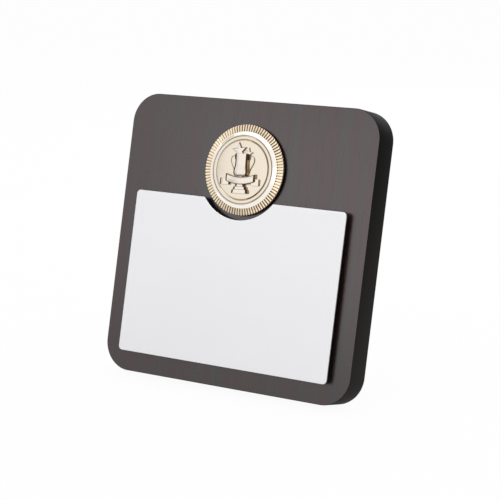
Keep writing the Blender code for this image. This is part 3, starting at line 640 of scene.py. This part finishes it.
def makeRim(look):
    outer, inner = medalRadius + look["crestReach"], medalRadius - look["bandWidth"]
    land, floor = look["edgeHeight"] + look["bandRise"], look["floor"]
    crestOut = inner - look["landWidth"] - look["slopeWidth"]
    crestIn, crest = crestOut - look["crestWidth"], land + look["slopeRise"]
    pocketEnd = inner + look["pocketLength"]
    line = [
        (look["core"], floor), (crestIn, floor), (crestIn, crest), (crestOut, crest),
        (crestOut + look["slopeWidth"], land), (inner, land),
        (inner + look["pocketWidth"], land - look["pocketDrop"]),
        (pocketEnd, land - look["pocketEndDrop"]), ((inner + outer) / 2, land - look["bandRise"] / 2),
        (outer, look["edgeHeight"]), (outer, 0), (look["core"], 0),
    ]
    profile = roundCorners(line, look["rounds"], look["roundSteps"])
    along = np.gradient(profile, axis=0)
    along /= np.linalg.norm(along, axis=1, keepdims=True)
    outward = np.column_stack((-along[:, 1], along[:, 0]))
    started = np.clip((profile[:, 0] - inner) / look["pocketWidth"], 0, 1)
    lasting = np.clip(profile[:, 1] / (look["reedFade"] * look["edgeHeight"]), 0, 1)
    count = look["reedCount"] * look["reedSamples"]
    angle = np.linspace(0, 2 * np.pi, count, endpoint=False)
    s = 2 * np.mod(np.arange(count) / look["reedSamples"], 1) - 1
    drop = look["reedDepth"] * (1 - (1 - np.abs(s) ** look["reedPower"]) ** (1 / look["reedPower"]))
    sink = (started * lasting)[:, None] * drop
    radius = profile[:, :1] - outward[:, :1] * sink
    height = profile[:, 1:] - outward[:, 1:] * sink
    rings = np.stack((radius * np.cos(angle), radius * np.sin(angle), height + rimLow[2]), axis=-1)
    piece = solidOf("reeded_rim", rings, medal)
    finishes = [reedGold, facet, gold, darkShade, slopeGold, flank]
    finishPiece(piece, "plaque", finishes, ["medal_rim"], sharpAngle=50)
    paint = look["paint"]

    # 1, a painted near-white highlight, on the slope's outer part and 4, a gold lightened as painted light, on its
    # plain inner part, which is wider to the upper left; 2 inside it; 3, painted shade, in the pockets and, on the
    # right, on into the valleys; 5, painted shade, on the sides of reeds that face right; 0 on the rest of the
    # reeds
    def cutOf(middle, normal):
        x, y = middle[:, :2].T
        rightward, forward = normal[:, 0], normal[:, 2]
        reach = np.hypot(x, y)
        slopeIn, slopeOut = crestOut + paint["slopeStart"], inner - paint["slopeEnd"]
        plainX, plainY = paint["plainSide"]
        highlightIn = slopeIn + paint["plainWidth"] * np.clip((plainY * y + plainX * x) / reach, 0, 1)
        slope = (reach > slopeIn) & (reach < slopeOut) & (forward > paint["slopeTilt"])
        across = 2 * np.mod(np.arctan2(y, x) * look["reedCount"] / (2 * np.pi), 1) - 1
        pocket = (np.abs(reach - inner) < paint["pocketReach"]) & (forward < paint["pocketTilt"])
        # painted shade: on the right, the pockets' dark colour reaches on into the valleys
        hollow = (np.abs(across) > paint["valley"]) & (reach > inner) & (reach < pocketEnd)
        pocket |= hollow & (x > paint["pocketSide"] * reach)
        # painted shade on the sides of reeds that face right
        shaded = (rightward > paint["shadeRight"]) & (forward > paint["shadeTilt"])
        shaded &= reach > inner + paint["shadeStart"]
        places = [slope & (reach > highlightIn), slope, reach < slopeOut, pocket, shaded]
        return np.select(places, [1, 4, 2, 3, 5], 0)

    paintFaces(piece, medal, cutOf)


def makePad(look):
    low, high = nodeBox("medal_pad", face)
    profile = discProfile(look["core"], (high[0] - low[0]) / 2, high[2], low[2], look["edgeRound"])
    piece = solidOf("mounting_pad", latheRings(profile, look["steps"]), medal)
    finishPiece(piece, "plaque", [foam], ["medal_pad"])


makeRim(rim)
makePad(pad)
print("medal rim and pad made")


# Medal insert: a turned disc with a raised field, a step, a ring and a chamfer, joined to an emblem

insert = {
    "field": 1.85, "fieldRadius": 18.05, "stepWidth": 0.45, "stepDrop": 0.55, "coveWidth": 0.5,
    "ring": 1.75, "chamferWidth": 0.5, "chamferDrop": 0.3, "seam": 0.04, "core": 6.0, "steps": 192,
    "root": 0.6,  # how far the emblem reaches down into the disc
    "rounds": (0.1, 0.12, 0.3, 0.2, 0.1, 0.2), "roundSteps": 6,
    "paint": {
        "ringStart": 0.1, "stepTilt": 0.35, "stepRight": 0.2, "stepReach": 1.0,
        "handleSide": 5.4, "handleSpan": (-2.5, 9.2), "handleRight": 0.35, "handleTop": 7.3,
        "wallTilt": 0.5, "bevelTilt": 0.95, "raised": 0.3,
    },
}
emblem = {
    "turn": 2.3,  # degrees that the emblem stands turned in the medal
    "bevel": 1.1, "bevelDrop": 0.42,  # on the left and right of the blocks
    "footBevel": 1.5, "footDrop": 0.62, "stemBevel": 0.3, "stemDrop": 0.3,
    # blocks from the top down: place, half-width and height of the front
    "cup": [
        (9.8, 3.3, 2.2), (8.5, 3.25, 2.2), (5.5, 3.2, 2.1), (2.6, 3.25, 2.1), (0.6, 3.6, 2.2),
        (-1.2, 3.85, 2.3), (-2.6, 3.75, 2.25), (-3.5, 3.35, 2.1), (-3.95, 2.7, 1.9),
    ],
    "lip": [(9.5, 4.2, 1.3), (8.6, 4.3, 1.3), (6.6, 4.2, 1.2), (6.0, 3.9, 0.9)],
    "stem": [(-3.5, 1.0, 1.0), (-10.0, 1.0, 1.0)],
    "foot": [
        (-9.0, 1.9, 1.5), (-10.4, 2.1, 1.5), (-10.6, 3.1, 1.6), (-12.2, 3.3, 1.6), (-12.4, 4.2, 1.7),
        (-14.6, 4.5, 1.7),
    ],
    "tail": [(-5.5, 2.6, 1.1), (-9.5, 2.6, 1.1)],
    "tails": {
        "left": {"middle": -11.1, "bevel": 1.1, "drop": 0.42},
        "right": {"middle": 10.4, "bevel": 0.3, "drop": 0.2},
    },
    "stars": {
        "star_large": {"x": -2.5, "y": 11.6, "radius": 5.4, "turn": 6.7, "top": 1.0},
        "star_small": {"x": 3.75, "y": 10.2, "radius": 3.7, "turn": -10.3, "top": 0.75},
    },
    "starWaist": 0.42, "starBevel": 0.86, "starDrop": 0.3, "starPeak": 0.04, "starRidge": 0.1,
    "handle": [
        (4.0, 7.6), (6.0, 8.5), (7.8, 7.9), (8.4, 5.8), (7.7, 3.4), (6.4, 1.1), (5.3, -1.4), (4.4, -2.6),
    ],
    "handleWire": 0.28, "handleLift": 0.2, "cupSteps": 5, "handleSteps": 8, "wireSteps": 20,
    "ribbonHalf": 9.45, "ribbonHeight": 4.7, "ribbonSag": 1.6, "ribbonMiddle": -6.85, "ribbonTop": 1.8,
    "ribbonBulge": 0.25, "ribbonEase": 0.35, "ribbonDrop": 0.3, "ribbonCrown": 0.12, "ribbonRound": 0.3,
}


# A block with a flat front: each ring runs from the right root up the wall, over the bevel and the front,
# and down the other side, at x = side * (half-width + bevel * share), z = height - drop * share.
def blockRings(rows, bevel, drop, root, middle=0.0):
    place, half, height = np.asarray(rows, float).T[:, :, None]
    side = np.array((1, 1, 1, 0.5, -0.5, -1, -1, -1))
    share = np.array((1, 1, 0, 0, 0, 0, 1, 1))
    level = height - drop * share
    level[:, [0, -1]] = -root
    return np.stack((middle + side * (half + bevel * share), place + 0 * level, level), axis=-1)


# A star's outline is ten points at two radii in turn, carried up a profile of (scale, height) rows.
def starRings(star, look, root):
    corner = np.radians(90 + star["turn"] + 36 * np.arange(10))
    top = star["top"]
    rows = [
        (1.0, -root), (1.0, top - look["starDrop"]), (look["starBevel"], top),
        (look["starPeak"], top + look["starRidge"]),
    ]
    scale, height = np.array(rows).T[:, :, None]
    reach = scale * (star["radius"] * np.where(np.arange(10) % 2, look["starWaist"], 1.0))
    x, y = star["x"] + reach * np.cos(corner), star["y"] + reach * np.sin(corner)
    return np.stack((x, y, height + 0 * reach), axis=-1)


# The ribbon carries an upright cross-section with eased shoulders along a sagging line,
# y = middle + sag * u^2, bulges out over the stem and drops at its bevelled ends.
def ribbonRings(look, root, stations=41):
    half, high, top = look["ribbonHalf"], look["ribbonHeight"] / 2, look["ribbonTop"]
    end = 1 + look["bevel"] / half
    u = np.concatenate(([-end], np.linspace(-1, 1, stations), [end]))[:, None]
    shoulder, wall = high - look["ribbonEase"], top - look["ribbonDrop"]
    line = [
        (0, -root), (-high, -root), (-high, wall), (-shoulder, top), (0, top + look["ribbonCrown"]),
        (shoulder, top), (high, wall), (high, -root), (0.01, -root),  # stops just short of its start
    ]
    across, lift = roundCorners(line, look["ribbonRound"]).T
    rise = np.where(np.abs(u) > 1, -look["bevelDrop"], look["ribbonBulge"] * np.cos(u * np.pi / 2) ** 2)
    lift = np.where(lift > 0, lift * (1 + rise / top), lift)
    y = look["ribbonMiddle"] + look["ribbonSag"] * u**2 + across
    return np.stack((half * u + 0 * lift, y, lift), axis=-1)


def seatRadius(look):  # radius of the rim's recess, which holds the insert
    return medalRadius - look["bandWidth"] - look["landWidth"] - look["slopeWidth"] - look["crestWidth"]


def makeInsert(look, relief):
    low = nodeBox("medal_insert", face)[0]
    field, edge, ring, root = look["field"], look["fieldRadius"], look["ring"], look["root"]
    outer, step = seatRadius(rim) - look["seam"], edge + look["stepWidth"]
    line = [
        (look["core"], field), (edge, field), (step, field - look["stepDrop"]),
        (step + look["coveWidth"], ring), (outer - look["chamferWidth"], ring),
        (outer, ring - look["chamferDrop"]), (outer, 0), (look["core"], 0),
    ]
    profile = roundCorners(line, look["rounds"], look["roundSteps"])
    home = makeFrame(toRow((0, 0, low[2]), medal), boardUp, faceOut)
    turn = math.radians(relief["turn"])
    upTurned = math.cos(turn) * np.array(boardUp) - math.sin(turn) * np.array((1, 0, 0))
    top = makeFrame(toRow((0, 0, low[2] + field), medal), upTurned, faceOut)
    piece = solidOf("embossed_insert", latheRings(profile, look["steps"]), home)

    bevel, drop = relief["bevel"], relief["bevelDrop"]
    cup = smoothPath(relief["cup"], relief["cupSteps"])
    shapes = [
        solidOf("cup", blockRings(cup, bevel, drop, root), top),
        solidOf("lip", blockRings(relief["lip"], bevel, drop, root), top),
        solidOf("stem", blockRings(relief["stem"], relief["stemBevel"], relief["stemDrop"], root), top),
        solidOf("foot", blockRings(relief["foot"], relief["footBevel"], relief["footDrop"], root), top),
        solidOf("ribbon", ribbonRings(relief, root), top),
    ]
    for name, star in relief["stars"].items():
        shapes.append(solidOf(name, starRings(star, relief, root), top))
    for sign in (-1, 1):
        points = [(sign * x, y, relief["handleLift"]) for x, y in relief["handle"]]
        path = smoothPath(points, relief["handleSteps"])
        shapes.append(solidOf("handle", tubeRings(path, relief["handleWire"], relief["wireSteps"]), top))
    for tail in relief["tails"].values():
        shapes.append(solidOf("tail", blockRings(relief["tail"], root=root, **tail), top))
    combine(piece, shapes, "UNION")
    finishes = [gold, darkShade, bronze, amber, frontHighlight]
    finishPiece(piece, "plaque", finishes, ["medal_insert"], sharpAngle=22)
    paint = look["paint"]

    # Painted shade and highlight: 1, near-black shade, on bevels; 2, bronze-brown shade, on ring steps that face
    # right;
    # 3, brown-gold shade, on walls and the rest of the field's step; 4, a lighter painted highlight, on raised
    # fronts. Up to a height, the handles' sides that face right get shade 1 on the right and 3 on the left.
    def shadeOf(middle, normal):
        x, y, z = middle.T
        rightward, forward = normal[:, 0], normal[:, 2]
        reach = np.hypot(x, y)
        outward = (middle[:, :2] * normal[:, :2]).sum(axis=1) / np.maximum(reach, 0.001)  # never by zero
        # painted shade on ring steps: bronze brown where they face right, brown gold on the rest of the field's
        # step
        flat, right = outward <= paint["stepTilt"], rightward > paint["stepRight"]
        stepShade = np.select([flat, right, reach < step + paint["stepReach"]], [0, 2, 3], 0)
        below, above = paint["handleSpan"]
        handle = (np.abs(x) > paint["handleSide"]) & (y > below) & (y < above)
        # painted shade on the handles' sides that face right, near black on the right handle, brown gold on the
        # left
        shaded = (rightward > paint["handleRight"]) & (y < paint["handleTop"])
        handleShade = np.select([shaded & (x > 0), shaded], [1, 3], 0)
        wall, bevelled = forward <= paint["wallTilt"], forward < paint["bevelTilt"]
        blockShade = np.select([wall, bevelled, z > paint["raised"]], [3, 1, 4], 0)
        return np.select([reach > edge - paint["ringStart"], handle], [stepShade, handleShade], blockShade)

    paintFaces(piece, top, shadeOf)


makeInsert(insert, emblem)
print("medal insert made")


# Hinge: two leaves with their knuckles, a pin with domed ends, and countersunk cross-recessed screws

hinge = {
    "halfWidth": 16.0, "middle": 6.0, "gap": 0.3, "knuckle": 2.0, "knuckleRound": 0.15, "bore": 1.3,
    "leafThick": 1.0, "leafCorner": 1.6, "rootCorner": 0.15, "cornerSteps": 8, "leafEase": 0.12,
    "easeSteps": 3, "roomCorner": 0.05, "roomSteps": 2, "pinRound": 0.35, "pinSteps": 40, "steps": 48,
    "core": 0.2, "tip": 0.1,
    "screwHead": 2.0, "screwShank": 1.0, "screwPoint": 1.5, "screwRound": 0.12,
    "screwSide": 7.0, "screwEnd": 5.5,  # from the leaf's side and from its end
    "overrun": 1.0, "holeDepth": 3.0,  # how far the bore and the holes run on past the leaf, and down
    "recessWidth": 0.42, "recessLength": 1.15, "recessTurn": 0.5,
    "recessRows": [(0.3, 1.05), (-0.05, 1.0), (-0.75, 0.45)],  # height, and share of the recess's size
}
# A leaf's own z runs out of the back. The board's leaf lies under the pin's axis, the strut's above it.
leaves = {
    "board": {"home": back, "body": "plaque", "length": 20.0, "sign": 1, "screw": 10.5},
    "strut": {"home": strutBack, "body": "strut", "length": 16.0, "sign": -1, "screw": 5.2},
}


# Turned about the x axis: profile rows are (radius, place along the pin).
def pinRings(profile, steps):
    return latheRings(profile, steps)[:, :, [2, 0, 1]]


def screwPlace(leaf, look):  # height and depth of a screw's head on its leaf
    sign = leaf["sign"]
    return sign * (leaf["length"] - look["screwEnd"]), sign * (look["leafThick"] - look["knuckle"])


def makeLeaf(prefix, leaf, spans, others, look):
    home, sign, half, knuckle = leaf["home"], leaf["sign"], look["halfWidth"], look["knuckle"]
    gap, over, steps, core = look["gap"], look["overrun"], look["steps"], look["core"]
    spot, seat = screwPlace(leaf, look)
    low, high = sorted((seat, -sign * knuckle))
    corners = rectangle(-half, half, *sorted((0, sign * leaf["length"])))
    radii = np.repeat((look["rootCorner"], look["leafCorner"])[::sign], 2)
    chain = chainOf(cornerArcs(corners, radii, look["cornerSteps"]))
    edge = easedEdge(high, low, look["leafEase"], look["easeSteps"])
    piece = solidOf(f"{prefix}_leaf", slabRings(chain, edge), home)
    room = knuckle + gap
    away = []
    for start, end in others:  # room for the other leaf's knuckles
        corners = rectangle(start - 2 * gap, end + 2 * gap, -room, room)
        chain = chainOf(cornerArcs(corners, look["roomCorner"], look["roomSteps"]))
        away.append(solidOf("room", slabRings(chain, [(0, room), (0, -room)]), home))
    combine(piece, away, "DIFFERENCE")
    joined = []
    for start, end in spans:
        bar = discProfile(core, knuckle, start, end, look["knuckleRound"])
        joined.append(solidOf("knuckle", pinRings(bar, steps), home))
    combine(piece, joined, "UNION")
    bore = [(look["bore"], -half - over), (look["bore"], half + over)]
    holes = [solidOf("bore", pinRings(bore, steps), home)]
    # the countersink's cone runs on past both faces of the leaf
    head, shank, deep = look["screwHead"], look["screwShank"], -look["holeDepth"]
    cone = [(head + gap + over, over), (shank, shank - head - gap)]
    line = [(core, over), *cone, (shank, deep), (core, deep)]
    hole = latheRings(line, steps) * (1, 1, sign)
    for x in (look["screwSide"] - half, half - look["screwSide"]):
        holes.append(solidOf("hole", hole + (x, spot, seat), home))
    combine(piece, holes, "DIFFERENCE")
    finishPiece(piece, leaf["body"], [brass], [f"hinge_leaf_{prefix}"])


def makeScrews(prefix, leaf, look):
    home, length, flip = leaf["home"], leaf["screw"], (1, 1, leaf["sign"])
    head, shank, turn = look["screwHead"], look["screwShank"], look["recessTurn"]
    line = [  # countersunk head, shank and point, from the top down
        (look["core"], 0), (head, 0), (shank, shank - head), (shank, look["screwPoint"] - length),
        (look["tip"], -length),
    ]
    shape = latheRings(roundCorners(line, look["screwRound"]), look["steps"]) * flip
    level, size = np.array(look["recessRows"]).T[:, :, None]
    long, wide = look["recessLength"], look["recessWidth"] / 2
    bar = np.array(rectangle(-long, long, -wide, wide))
    reach = look["halfWidth"] - look["screwSide"]
    for side, x in (("left", reach), ("right", -reach)):  # seen from behind, so left lies to the right
        place = (x, *screwPlace(leaf, look))
        piece = solidOf(f"{prefix}_wood_screw_{side}", shape + place, home)
        arms = []
        for angle in (turn, turn + math.pi / 2):  # two crossed tapering bars make the recess
            spin = np.array(((math.cos(angle), -math.sin(angle)), (math.sin(angle), math.cos(angle))))
            flat = (bar @ spin.T) * size[:, :, None]
            arm = np.dstack((flat, level + 0 * flat[:, :, 0])) * flip
            arms.append(solidOf("recess", arm + place, home))
        combine(piece, arms, "DIFFERENCE")
        finishPiece(piece, leaf["body"], [screwBrass], [f"{prefix}_screw_{side}"])


def makeHinge(look):
    half, middle, gap = look["halfWidth"], look["middle"], look["gap"]
    inside, outside = [(-middle, middle)], [(-half, -middle - gap), (middle + gap, half)]
    makeLeaf("board", leaves["board"], outside, inside, look)
    makeLeaf("strut", leaves["strut"], inside, outside, look)
    low, high = nodeBox("hinge_pin", back)
    line = discProfile(look["tip"], (high[1] - low[1]) / 2, low[0], high[0], look["pinRound"])
    pin = solidOf("domed_pin", pinRings(line, look["pinSteps"]), back)
    finishPiece(pin, "plaque", [brass], ["hinge_pin"])
    for prefix, leaf in leaves.items():
        makeScrews(prefix, leaf, look)


makeHinge(hinge)
print("hinge and screws made")


# Strut: a tapered slab whose foot is cut along the floor, so its bottom edge moves with the depth

strut = {
    "topHalf": 18.0, "footHalf": 26.0, "cornerRadius": 5.0, "footRadius": 0.6, "cornerSteps": 16,
    "edgeEase": 0.5,
}


def makeStrut(look):
    low, high = nodeBox("easel_strut", strutBack)
    slope = math.tan(strutTilt)
    pinHeight = pinPlace[2] / mm
    floor = -pinHeight / math.cos(strutTilt)  # the floor's place along the strut, at the pin's depth
    bottom = floor - high[2] * slope
    foot, top = look["footHalf"], look["topHalf"]
    corners = [(-foot, bottom), (foot, bottom), (top, high[1]), (-top, high[1])]
    radii = [look["footRadius"]] * 2 + [look["cornerRadius"]] * 2
    chain = chainOf(cornerArcs(corners, radii, look["cornerSteps"]))
    rings = slabRings(chain, easedEdge(high[2], low[2], look["edgeEase"]))
    atFoot = chain[:, 1] < bottom / 2
    rings[:, atFoot, 1] += ((high[2] - rings[:, :, 2]) * slope)[:, atFoot]
    piece = solidOf("stained_strut", rings, strutBack)
    finishPiece(piece, "strut", [strutWood], ["easel_strut"])


makeStrut(strut)
print("strut made")


# Stage: floor, world, lamps and camera

stage = {
    "floorSize": 8.0, "floorColour": (0.86, 0.86, 0.86),
    "floorGlow": 0.95,  # share of the floor that is plain white where it is seen directly
    "ambient": 0.79,
    "middle": (0, 0, 0.09),  # the plaque's middle, which the lamps stand round
    "wattsPerRadiance": 4.0,  # for each square metre of a lamp
}


def seenDirectly(tree):  # 1 for camera, glossy and transmission rays, 0 for the rest
    path = addNode(tree, "ShaderNodeLightPath").outputs
    some = mathNode(tree, "MAXIMUM", path["Is Camera Ray"], path["Is Glossy Ray"])
    return mathNode(tree, "MAXIMUM", some, path["Is Transmission Ray"])


def mixShaders(tree, share, first, second, output):
    mixed = addNode(tree, "ShaderNodeMixShader", {0: share, 1: first.outputs[0], 2: second.outputs[0]})
    tree.links.new(mixed.outputs[0], tree.nodes[output].inputs["Surface"])


def makeWorld(look):
    world = bpy.data.worlds.new("studio")
    bpy.context.scene.world = world
    world.use_nodes = True
    tree = world.node_tree
    dim = tree.nodes["Background"]
    dim.inputs["Color"].default_value = (1, 1, 1, 1)
    dim.inputs["Strength"].default_value = look["ambient"]
    bright = addNode(tree, "ShaderNodeBackground", {"Color": (1, 1, 1, 1), "Strength": 1.0})
    mixShaders(tree, seenDirectly(tree), dim, bright, "World Output")


def makeFloor(look):
    half = look["floorSize"] / 2
    mesh = bpy.data.meshes.new("floor")
    mesh.from_pydata([(x, y, 0) for x, y in rectangle(-half, half, -half, half)], [], [(0, 1, 2, 3)])
    floor = newObject("floor", mesh)
    material, tree, shader = startMaterial("pale_floor", {"Roughness": 0.9, "Specular IOR Level": 0.1})
    shader.inputs["Base Color"].default_value = (*look["floorColour"], 1)
    glow = addNode(tree, "ShaderNodeEmission", {"Color": (1, 1, 1, 1), "Strength": 1.0})
    share = mathNode(tree, "MULTIPLY", seenDirectly(tree), look["floorGlow"])
    mixShaders(tree, share, shader, glow, "Material Output")
    mesh.materials.append(material)


def aim(thing, place, target):  # puts a lamp or camera at a place and turns it to a target
    thing.location = place
    thing.rotation_euler = (Vector(target) - Vector(place)).to_track_quat("-Z", "Y").to_euler()


# Lamps round the plaque's middle, with azimuth from the front to the right. One that isn't diffuse only
# shows as sheen.
lampFields = ("azimuth", "elevation", "distance", "wide", "high", "radiance", "diffuse")
lamps = {
    "near_softbox": (-4, 16, 0.62, 0.80, 0.26, 0.85, False),
    "left_softbox": (-60, 15, 1.2, 0.70, 0.50, 0.66, False),
    "front_softbox": (0, 42, 1.2, 0.50, 0.70, 0.25, False),
    "key_softbox": (-36, 42, 1.5, 1.8, 1.2, 0.15, True),
    "top_softbox": (-20, 76, 1.5, 1.2, 0.9, 0.8, True),
    "ceiling_softbox": (149, 78, 1.3, 1.6, 1.5, 1.4, False),
    "back_softbox": (178, 30, 1.6, 1.2, 1.2, 1.4, True),
}


def makeLamp(name, look):
    light = bpy.data.lights.new(name, "AREA")
    light.shape = "RECTANGLE"
    light.size, light.size_y = look["wide"], look["high"]
    light.energy = stage["wattsPerRadiance"] * look["wide"] * look["high"] * look["radiance"]
    lamp = newObject(name, light)
    lamp.visible_diffuse = look["diffuse"]
    azimuth, elevation = math.radians(look["azimuth"]), math.radians(look["elevation"])
    level = math.cos(elevation)
    away = np.array((math.sin(azimuth) * level, -math.cos(azimuth) * level, math.sin(elevation)))
    middle = np.array(stage["middle"])
    aim(lamp, middle + look["distance"] * away, middle)


camera = {  # place and target in millimetres on the board's face
    "place": (531.4, 99.92, 869.18), "target": (9.65, 86.36, 0.0), "lens": 118.85, "sensor": 36.0,
    "near": 0.05, "far": 50,
}


def makeCamera(look):
    data = bpy.data.cameras.new("photo_camera")
    data.lens, data.sensor_width = look["lens"], look["sensor"]
    data.clip_start, data.clip_end = look["near"], look["far"]
    eye = newObject("photo_camera", data)
    aim(eye, toRow(look["place"], face), toRow(look["target"], face))
    bpy.context.scene.camera = eye


makeWorld(stage)
makeFloor(stage)
for name, row in lamps.items():
    makeLamp(name, dict(zip(lampFields, row)))
makeCamera(camera)
bpy.context.scene.view_settings.view_transform = "Standard"
print("stage set")
